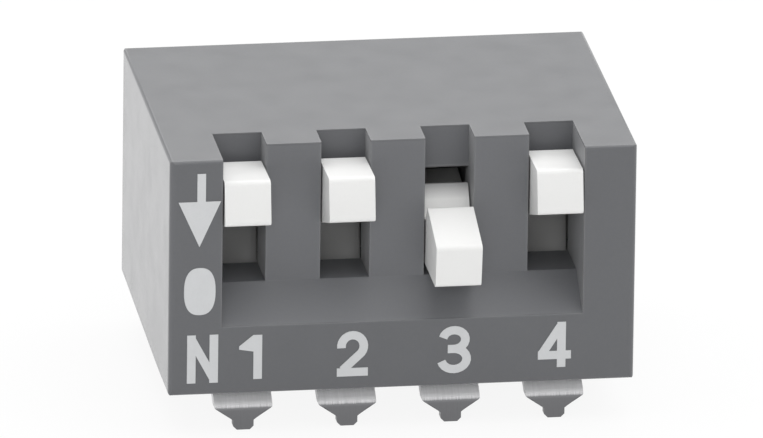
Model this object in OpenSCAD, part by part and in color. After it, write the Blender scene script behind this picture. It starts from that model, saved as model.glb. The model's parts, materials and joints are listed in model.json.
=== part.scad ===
// Piano-style DIP switch. A moulded cover closes over a base that carries the terminals, and a
// row of levers rocks on trunnions between the two. Each lever pushes a sprung ball across the
// contact pads of its own pair of terminals: lever up is OFF, lever down is ON.
// The seating plane under the base is z = 0, the levers point towards -Y, position 1 is at -X.

/* [Layout] */
// Number of switch positions
positions = 4; // [1:1:12]
// Distance between neighbouring positions
pitch = 2.54; // [2.4:0.02:4]
// Distance between the front and the rear row of pins
row_spacing = 7.62; // [7.2:0.02:8]
// Positions whose lever is down; the other levers are up
levers_on = [3]; // [1:1:12]

/* [Cover] */
// Width of the cover outside the outer cells, at each end
end_extra = 0.62; // [0.55:0.01:1.5]
// Depth of the cover, front to back
body_d = 8.5; // [8.1:0.1:10]
// Height of the cover at its front edge
body_h = 6; // [5.8:0.1:8]
// Rise of the cover's lower edge from the front to the back
skirt_rise = 0.3; // [0:0.05:0.5]
// Height of the cover's front edge above the seating plane
standoff = 0.15; // [0.05:0.05:0.5]
// Thickness of the end walls
end_wall = 0.55; // [0.4:0.05:0.6]
// Thickness of the top wall
top_wall = 0.55; // [0.3:0.05:0.6]
// Depth of the recess in the front, behind the end columns
recess_depth = 1.05; // [1:0.05:1.5]
// Depth of the notches in the top edge, behind the recess
notch_depth = 0.9; // [0.8:0.05:1.1]
// Thickness of the lip behind the notches
lip_t = 0.45; // [0.3:0.05:0.6]
// Height of the lip, down from the top face
lip_drop = 1.07; // [1:0.01:1.15]
// Gap between the underside of a lowered lever and the slots' sill
sill_gap = 0.23; // [0.1:0.01:0.4]
// Height of the ramp below the sill
ramp_h = 0.78; // [0.4:0.02:1.2]
// Rounding of the cover's upright edges
corner_r = 0.16; // [0.05:0.01:0.3]
// Rounding of the cover's top and bottom edges
edge_r = 0.08; // [0.04:0.01:0.15]

/* [Levers] */
// Width of a lever
lever_w = 1.12; // [0.9:0.02:1.3]
// Gap on each side of a lever in its slot
slot_gap = 0.04; // [0.03:0.01:0.1]
// Swing of a lever between OFF and ON, in degrees
throw = 19; // [15:0.5:20]
// Depth of the rocking axis behind the front plane
pivot_depth = 4.5; // [4.3:0.05:4.8]
// Level of the rocking axis, down from the top face
pivot_drop = 3.6; // [3.4:0.05:3.7]
// Level of a raised lever's tip, down from the top face
tip_drop = 0.57; // [0.4:0.01:0.8]
// Height of the tip's end face
tip_h = 1.06; // [0.8:0.01:1.2]
// How far the foot of the end face stands in front of its top
tip_lean = 0.2; // [0:0.01:0.3]
// Fall of the finger pad from its front to its back
pad_fall = 0.05; // [0:0.01:0.15]
// Gap between the back of the finger pad and the lip
pad_gap = 0.25; // [0.2:0.01:0.5]
// Gap between the neck of the lever and the front of the lip
neck_gap = 0.15; // [0.12:0.01:0.2]
// Gap between a lever and the underside of the lip
lip_gap = 0.08; // [0.05:0.01:0.12]
// Opening between the lip and the drum of a lowered lever
lip_opening = 0.3; // [0.2:0.05:0.6]
// Rounding of the tip's edges
tip_r = 0.14; // [0.05:0.01:0.18]
// Radius of the trunnions
trunnion_r = 0.35; // [0.25:0.01:0.45]
// Length of trunnion that sits in its cradle
seat_depth = 0.25; // [0.15:0.01:0.28]

/* [Contacts] */
// Diameter of the contact ball
ball_d = 0.84; // [0.7:0.02:0.9]
// Diameter of the spring's wire
wire_d = 0.12; // [0.08:0.01:0.14]
// Number of turns of the spring
turns = 4.5; // [3.5:0.5:6]
// Wall of the hub round its bore
hub_wall = 0.33; // [0.25:0.01:0.36]
// Height of the bore above the rocking axis
bore_rise = 1.1; // [0.9:0.05:1.3]
// Gap between the two contact pads
contact_gap = 0.24; // [0.15:0.01:0.35]
// Thickness of the terminal strip
strip_t = 0.25; // [0.2:0.01:0.3]
// Width of the terminal strip and of a pin's shoulder
shoulder_w = 1.42; // [1:0.02:1.6]
// Width of a pin
pin_w = 0.5; // [0.4:0.02:0.8]
// Outward kick of a pin from the leg above it
kick = 0.55; // [0.4:0.01:0.7]
// Level at which a pin's shoulder ends, down from the cover's front edge
shoulder_drop = 0.48; // [0.4:0.01:0.6]
// Level at which a pin reaches its width, down from the cover's front edge
taper_drop = 0.8; // [0.7:0.01:0.95]
// Level of a pin's tip, down from the cover's front edge
pin_drop = 1.05; // [1:0.05:4]
// Size of the chamfers on a pin's tip
tip_chamfer = 0.1; // [0.05:0.01:0.15]
// Inner radius of the terminal strip's bends
bend_r = 0.05; // [0.02:0.01:0.06]

/* [Base] */
// Thickness of the base plate
base_t = 1; // [0.8:0.05:1.2]
// Thickness of the partitions that carry the cradles
partition_t = 0.7; // [0.66:0.01:0.8]
// Length of the partitions, front to back
partition_l = 2.2; // [1.6:0.1:2.6]
// Width of the ledge in the cover that the base plate bears on
ledge = 0.1; // [0.05:0.01:0.2]
// Distance from the plinth to the edges of the base plate
plinth_inset = 1.1; // [0.9:0.05:1.5]
// Depth of the snap beads at the ends of the base plate
snap_d = 0.08; // [0.04:0.01:0.1]
// Height of the snap beads
snap_h = 0.3; // [0.2:0.02:0.4]
// Length of the snap beads
snap_l = 3; // [1:0.5:5]

/* [Fits] */
// Clearance of pieces that are pressed or laid together
fit = 0.02; // [0.01:0.01:0.04]
// Clearance of the trunnions in their cradles
run_gap = 0.03; // [0.02:0.01:0.06]
// Clearance of the ball and the spring in the bore
bore_gap = 0.03; // [0.02:0.01:0.05]
// Clearance of the ball over the pads at mid-travel
ball_gap = 0.01; // [0.01:0.005:0.03]

/* [Hidden] */
NAMED_BY_POSITION = ["lever", "spring", "ball", "front_terminal", "rear_terminal"];

$fn = 48;
// Steps in a rounded corner, in the lever's drum, round the spring's wire and in one turn of it
arc_steps = 5;
drum_steps = 8;
wire_sides = 6;
steps_per_turn = 12;
// Overshoot of cuts past the face that they open
over = 0.5;

// Overall sizes
body_w = positions * pitch + 2 * end_extra;
front_y = -body_d / 2;
slot_w = lever_w + 2 * slot_gap;
recess_w = (positions - 1) * pitch + slot_w;
inner_w = body_w - 2 * end_wall;
cell_w = pitch - partition_t;

// Levels above the seating plane
top_z = standoff + body_h;
lip_z = top_z - lip_drop;
ceiling_z = top_z - top_wall;
pivot_z = top_z - pivot_drop;
floor_z = standoff + base_t;
snap_z = standoff + (base_t - snap_h) / 2;

// Depths along Y
recess_y = front_y + recess_depth;
lip_y = recess_y + notch_depth;
inner_y = lip_y + lip_t;
pivot_y = front_y + pivot_depth;
pin_y = row_spacing / 2;
leg_y = pin_y - kick;
cavity_y = leg_y + strip_t / 2 + fit;

// Lever and lip, measured from the rocking axis: foot of a raised lever's end face, its level on a
// lowered lever, and the radius of the lip's underside
tip_foot = [-pivot_depth - tip_lean, pivot_drop - tip_drop - tip_h];
low_foot_z = tip_foot.x * sin(throw) + tip_foot.y * cos(throw);
sill_z = pivot_z + low_foot_z - sill_gap;
lip_front = [lip_y - pivot_y, lip_z - pivot_z];
lip_r = norm(lip_front);

// Contact geometry, measured from the rocking axis
ball_r = ball_d / 2;
bore_r = ball_r + bore_gap;
hub_w = 2 * (bore_r + hub_wall);
hub_top = bore_rise + hub_wall;
ball_reach = pivot_z - floor_z - ball_r - ball_gap;
contact_y = pivot_y + ball_reach * sin(throw / 2);
half_throw = throw / 2;

// Levels of the cradles and of the ribs that close them
cradle_r = trunnion_r + run_gap;
cradle_z = pivot_z + cradle_r;
lead_in = 0.02;

function numbered(name, i) = str(name, "_", i);
function place_x(i) = (i - (positions + 1) / 2) * pitch;
function is_on(i) = len([for (p = levers_on) if (p == i) p]) > 0;

// Sides of the wall k between two cells; the first and last wall reach out to outer_x
function partition_x(k) = (k - positions / 2) * pitch;
function partition_from(k, outer_x) = k == 0 ? -outer_x : partition_x(k) - partition_t / 2;
function partition_to(k, outer_x) = k == positions ? outer_x : partition_x(k) + partition_t / 2;

function unit(v) = v / norm(v);
function spin(v, a) = [v.x * cos(a) - v.y * sin(a), v.x * sin(a) + v.y * cos(a)];
function reversed(list) = [for (k = [len(list) - 1:-1:0]) list[k]];

// Arc of radius r that rounds the corner b of the path a, b, c
function corner_arc(a, b, c, r) =
    let (u = unit(a - b),
         w = unit(c - b),
         half = acos(u * w) / 2,
         centre = b + unit(u + w) * r / sin(half),
         start = b + u * r / tan(half) - centre,
         turn = (2 * half - 180) * sign(cross(u, w)))
    [for (k = [0:arc_steps]) centre + spin(start, turn * k / arc_steps)];

// Closed outline whose corners are rounded by the radii given with them, as [y, z, radius]
function rounded_outline(corners) =
    let (n = len(corners), at = [for (c = corners) [c[0], c[1]]])
    [for (k = [0:n - 1])
        each corners[k][2] > 0
            ? corner_arc(at[(k + n - 1) % n], at[k], at[(k + 1) % n], corners[k][2])
            : [at[k]]];

// Open path whose inner corners are rounded in the same way
function rounded_path(corners) =
    let (n = len(corners), at = [for (c = corners) [c[0], c[1]]])
    [for (k = [0:n - 1])
        each corners[k][2] > 0 ? corner_arc(at[k - 1], at[k], at[k + 1], corners[k][2]) : [at[k]]];

// One side of a strip, at a distance d to the left of its path
function path_side(path, d) =
    [for (k = [0:len(path) - 1])
        let (before = unit(path[max(k, 1)] - path[max(k, 1) - 1]),
             after = unit(path[min(k + 1, len(path) - 1)] - path[min(k + 1, len(path) - 1) - 1]),
             mid = unit(before + after))
        path[k] + spin(mid, 90) * d / (mid * after)];

module strip(path, t) {
    polygon(concat(path_side(path, t / 2), reversed(path_side(path, -t / 2))));
}

module rounded_rectangle(w, h, r) {
    polygon(rounded_outline([for (c = [[-1, -1], [1, -1], [1, 1], [-1, 1]])
                             [c.x * w / 2, c.y * h / 2, r]]));
}

// Extrude a [y, z] outline along X, centred
module along_x(w) {
    rotate([90, 0, 90]) linear_extrude(w, center = true) children();
}

// Extrude an [x, z] outline along Y, centred
module along_y(d) {
    rotate([90, 0, 0]) linear_extrude(d, center = true) children();
}

// Box from one corner to the opposite one
module block(from, to) {
    translate(from) cube(to - from);
}

module rod_x(r, from, to) {
    translate([from, 0, 0]) rotate([0, 90, 0]) cylinder(r = r, h = to - from);
}

// Cover

module cover_block() {
    back_y = -front_y;
    intersection() {
        along_x(body_w)
            polygon(rounded_outline([[front_y, standoff, edge_r],
                                     [back_y, standoff + skirt_rise, edge_r],
                                     [back_y, top_z, edge_r],
                                     [front_y, top_z, edge_r]]));
        translate([0, 0, standoff])
            linear_extrude(body_h) rounded_rectangle(body_w, body_d, corner_r);
        translate([0, 0, standoff + body_h / 2])
            along_y(body_d) rounded_rectangle(body_w, body_h, edge_r);
    }
}

// Shallow bay behind the end columns, open at the top, with a ramp below the slots
module front_recess() {
    slope = ramp_h / recess_depth;
    along_x(recess_w)
        polygon([[front_y - over, sill_z - ramp_h - slope * over],
                 [recess_y, sill_z],
                 [recess_y, top_z + over],
                 [front_y - over, top_z + over]]);
}

// Slot of one lever, open at the top in front of the lip and through to the inside below it. The
// lip's underside is a hollow round the rocking axis.
module lever_slot() {
    block([-slot_w / 2, recess_y - over, sill_z], [slot_w / 2, lip_y, top_z + over]);
    intersection() {
        block([-slot_w / 2, recess_y, sill_z], [slot_w / 2, inner_y + over, ceiling_z]);
        translate([0, pivot_y, pivot_z]) rod_x(lip_r, -slot_w / 2, slot_w / 2);
    }
}

module cover_cavity() {
    block([-inner_w / 2, -cavity_y, standoff - over], [inner_w / 2, cavity_y, floor_z]);
    block([-inner_w / 2, inner_y, standoff], [inner_w / 2, cavity_y - ledge, ceiling_z]);
    at_plate_ends() snap_ridge(snap_d + 2 * fit, snap_l + 2 * fit, 2 * fit);
}

// Ribs that hold the trunnions down in their cradles
module hold_down_ribs() {
    from_y = pivot_y - partition_l / 2;
    to_y = pivot_y + partition_l / 2;
    outer_x = (body_w - end_wall) / 2;
    for (k = [0:positions])
        block([partition_from(k, outer_x), from_y, cradle_z + fit],
              [partition_to(k, outer_x), to_y, top_z - top_wall / 2]);
}

module cover() {
    color("dimgray") {
        difference() {
            cover_block();
            front_recess();
            cover_cavity();
            for (i = [1:positions]) translate([place_x(i), 0, 0]) lever_slot();
        }
        hold_down_ribs();
    }
}

// Base

// Ridge at an end of the base plate that snaps into a groove of the cover, with a gentle upper flank
module snap_ridge(d, l, margin) {
    along_y(l)
        polygon([[-over, snap_z - margin],
                 [0, snap_z - margin],
                 [d, snap_z + snap_d / 2],
                 [0, snap_z + snap_h + margin],
                 [-over, snap_z + snap_h + margin]]);
}

module at_plate_ends() {
    for (side = [-1, 1]) scale([side, 1, 1]) translate([inner_w / 2 - fit, 0, 0]) children();
}

module partitions() {
    outer_x = inner_w / 2 - fit;
    for (k = [0:positions])
        block([partition_from(k, outer_x), pivot_y - partition_l / 2, floor_z - over],
              [partition_to(k, outer_x), pivot_y + partition_l / 2, cradle_z]);
}

// Cradles for the two trunnions of one lever, open at the top
module cradles() {
    end_x = cell_w / 2 + seat_depth + fit;
    mouth = cradle_r + lead_in;
    translate([0, pivot_y, pivot_z]) {
        rod_x(cradle_r, -end_x, end_x);
        block([-end_x, -mouth, 0], [end_x, mouth, cradle_r + over]);
    }
}

// Channel of one pair of terminals: a groove along the floor and a notch at each edge
module terminal_channels() {
    half_w = shoulder_w / 2 + fit;
    notch_y = leg_y - strip_t / 2 - fit;
    block([-half_w, -cavity_y, floor_z - strip_t - fit], [half_w, cavity_y, floor_z]);
    for (side = [-1, 1])
        scale([1, side, 1])
            block([-half_w, notch_y, -over], [half_w, cavity_y, floor_z]);
}

module base() {
    plate_w = inner_w - 2 * fit;
    plate_d = 2 * (cavity_y - fit);
    color("dimgray")
        difference() {
            union() {
                block([-plate_w / 2, -plate_d / 2, standoff], [plate_w / 2, plate_d / 2, floor_z - fit]);
                linear_extrude(standoff + over)
                    rounded_rectangle(plate_w - 2 * plinth_inset, plate_d - 2 * plinth_inset, corner_r);
                partitions();
                at_plate_ends() snap_ridge(snap_d, snap_l, 0);
            }
            for (i = [1:positions])
                translate([place_x(i), 0, 0]) {
                    cradles();
                    terminal_channels();
                }
        }
}

// Levers and the contacts that they carry, in a frame whose origin is on the rocking axis

// Side outline of a raised lever's arm: finger pad, neck under the lip, drum behind it
function arm_outline() =
    let (tip_z = pivot_drop - tip_drop,
         pad_y = lip_front.x - pad_gap,
         neck = [lip_front.x - neck_gap, lip_front.y - lip_gap],
         drum_r = lip_r - lip_gap,
         drum_from = asin(neck.y / drum_r),
         open_to = atan2(lip_front.y, -lip_front.x) + throw - lip_opening / drum_r * 180 / PI,
         ceiling_to = asin((pivot_drop - top_wall - lip_gap) / drum_r),
         drum_to = min(open_to, ceiling_to),
         under = [-hub_w / 4, tip_foot.y + (tip_foot.x + hub_w / 4) * tan(throw)])
    rounded_outline(concat(
        [[tip_foot.x, tip_foot.y, tip_r],
         [-pivot_depth, tip_z, tip_r],
         [pad_y, tip_z - pad_fall, tip_r],
         [neck.x, neck.y, tip_r]],
        [for (k = [0:drum_steps])
            let (a = drum_from + (drum_to - drum_from) * k / drum_steps)
            [-drum_r * cos(a), drum_r * sin(a), 0]],
        [[hub_w / 4, hub_top / 2, 0], [0, 0, 0], [under.x, under.y, 0]]));

// Hub with its blind bore for the spring, upright at mid-travel
module hub() {
    foot = ball_reach + ball_r / 8;
    difference() {
        union() {
            along_x(hub_w)
                polygon(rounded_outline([for (c = [[-1, -foot], [1, -foot], [1, hub_top], [-1, hub_top]])
                                         [c.x * hub_w / 2, c.y, hub_wall]]));
            rod_x(trunnion_r, -cell_w / 2 - seat_depth, cell_w / 2 + seat_depth);
        }
        translate([0, 0, -foot - over]) cylinder(r = bore_r, h = foot + over + bore_rise);
    }
}

module lever_shape() {
    difference() {
        along_x(lever_w) polygon(arm_outline());
        rotate([-half_throw, 0, 0])
            along_x(lever_w + over)
                square([hub_w - hub_wall, 2 * hub_top - hub_wall], center = true);
    }
    rotate([-half_throw, 0, 0]) hub();
}

// Put a lever's frame at its position, down where the switch is ON
module at_lever(i) {
    translate([place_x(i), pivot_y, pivot_z]) rotate([is_on(i) ? throw : 0, 0, 0]) children();
}

module lever(i) {
    color("white") at_lever(i) lever_shape();
}

// Coil with closed end turns, made of rings of wire_sides points along a helix
module spring(i) {
    coil_r = bore_r - bore_gap - wire_d / 2;
    from_z = -ball_reach + sqrt(pow(ball_r + wire_d / 2 + ball_gap, 2) - pow(coil_r, 2));
    to_z = bore_rise - wire_d / 2 - ball_gap;
    end_rise = wire_d + ball_gap;
    rise = (to_z - from_z - 2 * end_rise) / (turns - 2);
    rings = turns * steps_per_turn;
    function height(t) = from_z + end_rise * min(t, 1) + rise * min(max(t - 1, 0), turns - 2)
                         + end_rise * max(t - turns + 1, 0);
    function ring(k) =
        let (t = k / steps_per_turn)
        [for (s = [0:wire_sides - 1])
            let (a = 360 * s / wire_sides, r = coil_r + wire_d / 2 * cos(a))
            [r * cos(360 * t), r * sin(360 * t), height(t) + wire_d / 2 * sin(a)]];
    function side(k, s) = k * wire_sides + s % wire_sides;
    skin = [for (k = [0:rings - 1]) for (s = [0:wire_sides - 1])
            each [[side(k, s), side(k, s + 1), side(k + 1, s)],
                  [side(k, s + 1), side(k + 1, s + 1), side(k + 1, s)]]];
    ends = [[for (s = [wire_sides - 1:-1:0]) s], [for (s = [0:wire_sides - 1]) side(rings, s)]];
    color("silver")
        at_lever(i)
            rotate([-half_throw, 0, 0])
                polyhedron([for (k = [0:rings]) each ring(k)], concat(skin, ends));
}

module ball(i) {
    color("gold")
        at_lever(i) rotate([-half_throw, 0, 0]) translate([0, 0, -ball_reach]) sphere(r = ball_r);
}

// Terminals

// Front view of a terminal: shoulder, taper and chamfered pin
module terminal_front() {
    wide = shoulder_w / 2;
    narrow = pin_w / 2;
    tip_z = standoff - pin_drop;
    polygon([[-wide, floor_z], [-wide, standoff - shoulder_drop], [-narrow, standoff - taper_drop],
             [-narrow, tip_z + tip_chamfer], [-narrow + tip_chamfer, tip_z],
             [narrow - tip_chamfer, tip_z], [narrow, tip_z + tip_chamfer],
             [narrow, standoff - taper_drop], [wide, standoff - shoulder_drop], [wide, floor_z]]);
}

// Strip from its contact pad, along the base's floor, down its leg and out to the pin
module terminal(pad_y) {
    strip_z = floor_z - strip_t / 2;
    kick_z = standoff - strip_t / 2;
    mean_r = bend_r + strip_t / 2;
    path = rounded_path([[pad_y, strip_z, 0],
                         [leg_y, strip_z, mean_r],
                         [leg_y, kick_z, mean_r],
                         [pin_y, standoff - shoulder_drop, mean_r],
                         [pin_y, standoff - pin_drop, 0]]);
    color("lightsteelblue")
        intersection() {
            along_x(shoulder_w) strip(path, strip_t);
            along_y(2 * body_d) terminal_front();
        }
}

module front_terminal(i) {
    translate([place_x(i), 0, 0]) scale([1, -1, 1]) terminal(-(contact_y - contact_gap / 2));
}

module rear_terminal(i) {
    translate([place_x(i), 0, 0]) terminal(contact_y + contact_gap / 2);
}

cover();
base();
for (i = [1:positions]) {
    lever(i);
    spring(i);
    ball(i);
    front_terminal(i);
    rear_terminal(i);
}
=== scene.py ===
"""Dresses a four-position piano dip switch and sets it up for its studio picture.

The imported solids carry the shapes. This script breaks the edges of levers and terminals,
gives every piece its finish, prints the marks on the cover's front and lights the part on
a white floor. Sizes are in millimetres and are turned into the frame's metres where a
mesh, a modifier or a lamp is made.
"""
import json
import logging
import math
from collections.abc import Iterable
from dataclasses import dataclass, replace
from enum import Enum
from functools import cached_property

import bmesh
import bpy
from mathutils import Matrix, Vector
from mathutils.geometry import delaunay_2d_cdt


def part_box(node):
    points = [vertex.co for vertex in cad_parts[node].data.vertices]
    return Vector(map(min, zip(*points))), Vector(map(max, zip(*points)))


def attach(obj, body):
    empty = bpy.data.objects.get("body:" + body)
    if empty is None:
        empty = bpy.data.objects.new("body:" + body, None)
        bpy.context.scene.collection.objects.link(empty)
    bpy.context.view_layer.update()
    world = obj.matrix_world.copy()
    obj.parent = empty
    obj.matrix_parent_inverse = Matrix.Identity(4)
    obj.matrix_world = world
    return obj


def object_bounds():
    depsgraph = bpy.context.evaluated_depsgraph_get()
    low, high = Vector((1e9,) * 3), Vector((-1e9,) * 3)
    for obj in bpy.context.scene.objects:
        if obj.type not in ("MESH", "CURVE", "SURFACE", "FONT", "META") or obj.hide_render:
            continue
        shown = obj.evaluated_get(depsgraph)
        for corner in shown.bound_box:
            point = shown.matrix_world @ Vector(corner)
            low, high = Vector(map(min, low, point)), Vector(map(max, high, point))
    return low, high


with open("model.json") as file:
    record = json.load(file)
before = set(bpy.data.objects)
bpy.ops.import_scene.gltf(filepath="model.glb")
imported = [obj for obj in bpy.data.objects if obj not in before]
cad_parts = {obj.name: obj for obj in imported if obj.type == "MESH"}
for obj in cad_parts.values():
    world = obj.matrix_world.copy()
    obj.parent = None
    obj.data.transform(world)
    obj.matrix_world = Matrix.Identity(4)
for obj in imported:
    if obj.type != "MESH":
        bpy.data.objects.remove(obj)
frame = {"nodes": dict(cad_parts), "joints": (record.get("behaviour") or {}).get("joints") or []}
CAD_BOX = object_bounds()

MM = 0.001
PHOTO_WIDTH_PX = 763
POSITIONS = (1, 2, 3, 4)

Colour = tuple[float, float, float]
Place = tuple[float, float, float]
Point = tuple[float, float]
Outline = list[Point]
Piece = bpy.types.Object
Tree = bpy.types.NodeTree
Socket = bpy.types.NodeSocket
Sockets = dict[str, Socket]
Operand = Socket | float | tuple[float, ...]
Span = tuple[Operand, Operand]

log = logging.getLogger("dip_switch")


class SocketKind(Enum):
    """Kinds of sockets that a node group has."""

    NUMBER = "NodeSocketFloat"
    COLOUR = "NodeSocketColor"
    VECTOR = "NodeSocketVector"
    MESH = "NodeSocketGeometry"


Kinds = dict[str, SocketKind]


class Cap(Enum):
    """How far a pen stroke runs past its end points, in pen widths."""

    FLUSH = 0.0
    SQUARE = 0.5


# Node trees


def by_name(sockets: Iterable[Socket]) -> Sockets:
    """Gives a node's sockets by their names."""
    return {socket.name: socket for socket in sockets}


class NodeSheet:
    """Adds titled nodes to a tree, from left to right, and links them."""

    column_px = 220

    def __init__(self, tree: Tree) -> None:
        """Starts with an empty tree.

        Args:
            tree: The tree to fill. What it holds is cleared.
        """
        self.tree = tree
        tree.nodes.clear()

    def add(self, kind: str, title: str, **settings: object) -> bpy.types.Node:
        """Adds a node.

        Args:
            kind: Blender's type name of the node.
            title: Name and label of the node.
            settings: Properties to set on the node.

        Returns:
            The new node.
        """
        node = self.tree.nodes.new(kind)
        node.name = node.label = title
        node.location = (self.column_px * len(self.tree.nodes), 0)
        for key, value in settings.items():
            setattr(node, key, value)
        return node

    def link(self, source: Socket, target: Socket) -> None:
        """Links an output socket to an input socket."""
        self.tree.links.new(source, target)

    def feed(self, target: Socket, operand: Operand) -> None:
        """Feeds an input socket.

        Args:
            target: The input socket.
            operand: An output socket to link to it, or a value to set.
        """
        if isinstance(operand, Socket):
            self.link(operand, target)
        else:
            target.default_value = operand

    def maths(self, kind: str, title: str, *operands: Operand) -> Socket:
        """Adds a maths node.

        Args:
            kind: The operation, such as ADD or MULTIPLY.
            title: Name of the node.
            operands: Its operands, in order.

        Returns:
            Socket with the result.
        """
        node = self.add("ShaderNodeMath", title, operation=kind)
        for target, operand in zip(node.inputs, operands):
            self.feed(target, operand)
        return node.outputs["Value"]

    def vector(self, kind: str, title: str, *operands: Operand) -> Socket:
        """Adds a vector maths node.

        Args:
            kind: The operation, such as SCALE or DISTANCE.
            title: Name of the node.
            operands: Its operands, in order.

        Returns:
            Socket with the result, a vector or a number.
        """
        node = self.add("ShaderNodeVectorMath", title, operation=kind)
        used = (socket for socket in node.inputs if socket.enabled)
        for target, operand in zip(used, operands):
            self.feed(target, operand)
        return next(socket for socket in node.outputs if socket.enabled)

    def ramp(self, title: str, value: Socket, span: Span, result: Span = (0.0, 1.0)) -> Socket:
        """Adds a straight ramp that is level past both ends.

        Args:
            title: Name of the node.
            value: Socket with the value.
            span: Values at which the ramp starts and ends.
            result: Results at the start and at the end.

        Returns:
            Socket with the result.
        """
        node = self.add("ShaderNodeMapRange", title)
        names = ("Value", "From Min", "From Max", "To Min", "To Max")
        for name, operand in zip(names, (value, *span, *result)):
            self.feed(node.inputs[name], operand)
        return node.outputs["Result"]

    def mix(self, title: str, share: Socket, first: Socket, second: Colour) -> Socket:
        """Adds a mix of two colours.

        Args:
            title: Name of the node.
            share: Socket with the share of the second colour.
            first: Socket with the first colour.
            second: The second colour.

        Returns:
            Socket with the mixed colour.
        """
        node = self.add("ShaderNodeMix", title, data_type="RGBA")
        for name, operand in zip(("Factor", "A", "B"), (share, first, (*second, 1.0))):
            self.feed(node.inputs[name], operand)
        return node.outputs["Result"]

    def place_mm(self) -> Socket:
        """Gives a socket with the place on the object, in millimetres."""
        place = self.add("ShaderNodeTexCoord", "place").outputs["Object"]
        return self.vector("SCALE", "in millimetres", place, 1.0 / MM)

    def parts(self, vector: Socket) -> Sockets:
        """Splits a vector.

        Args:
            vector: Socket with the vector.

        Returns:
            Sockets with its X, Y and Z.
        """
        node = self.add("ShaderNodeSeparateXYZ", "parts")
        self.link(vector, node.inputs["Vector"])
        return by_name(node.outputs)


GroupParts = tuple[NodeSheet, Sockets, Sockets]


def start_group(kind: str, name: str, inputs: Kinds, outputs: Kinds) -> GroupParts:
    """Starts a node group with its sockets.

    Args:
        kind: Blender's type name of the tree.
        name: Name of the group.
        inputs: Socket kinds by the names of the inputs.
        outputs: Socket kinds by the names of the outputs.

    Returns:
        The group's sheet, what is given to it and what it puts out.
    """
    tree = bpy.data.node_groups.new(name, kind)
    for way, sockets in (("INPUT", inputs), ("OUTPUT", outputs)):
        for title, socket in sockets.items():
            tree.interface.new_socket(title, in_out=way, socket_type=socket.value)
    sheet = NodeSheet(tree)
    given = sheet.add("NodeGroupInput", "in").outputs
    result = sheet.add("NodeGroupOutput", "out").inputs
    return sheet, by_name(given), by_name(result)


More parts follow.
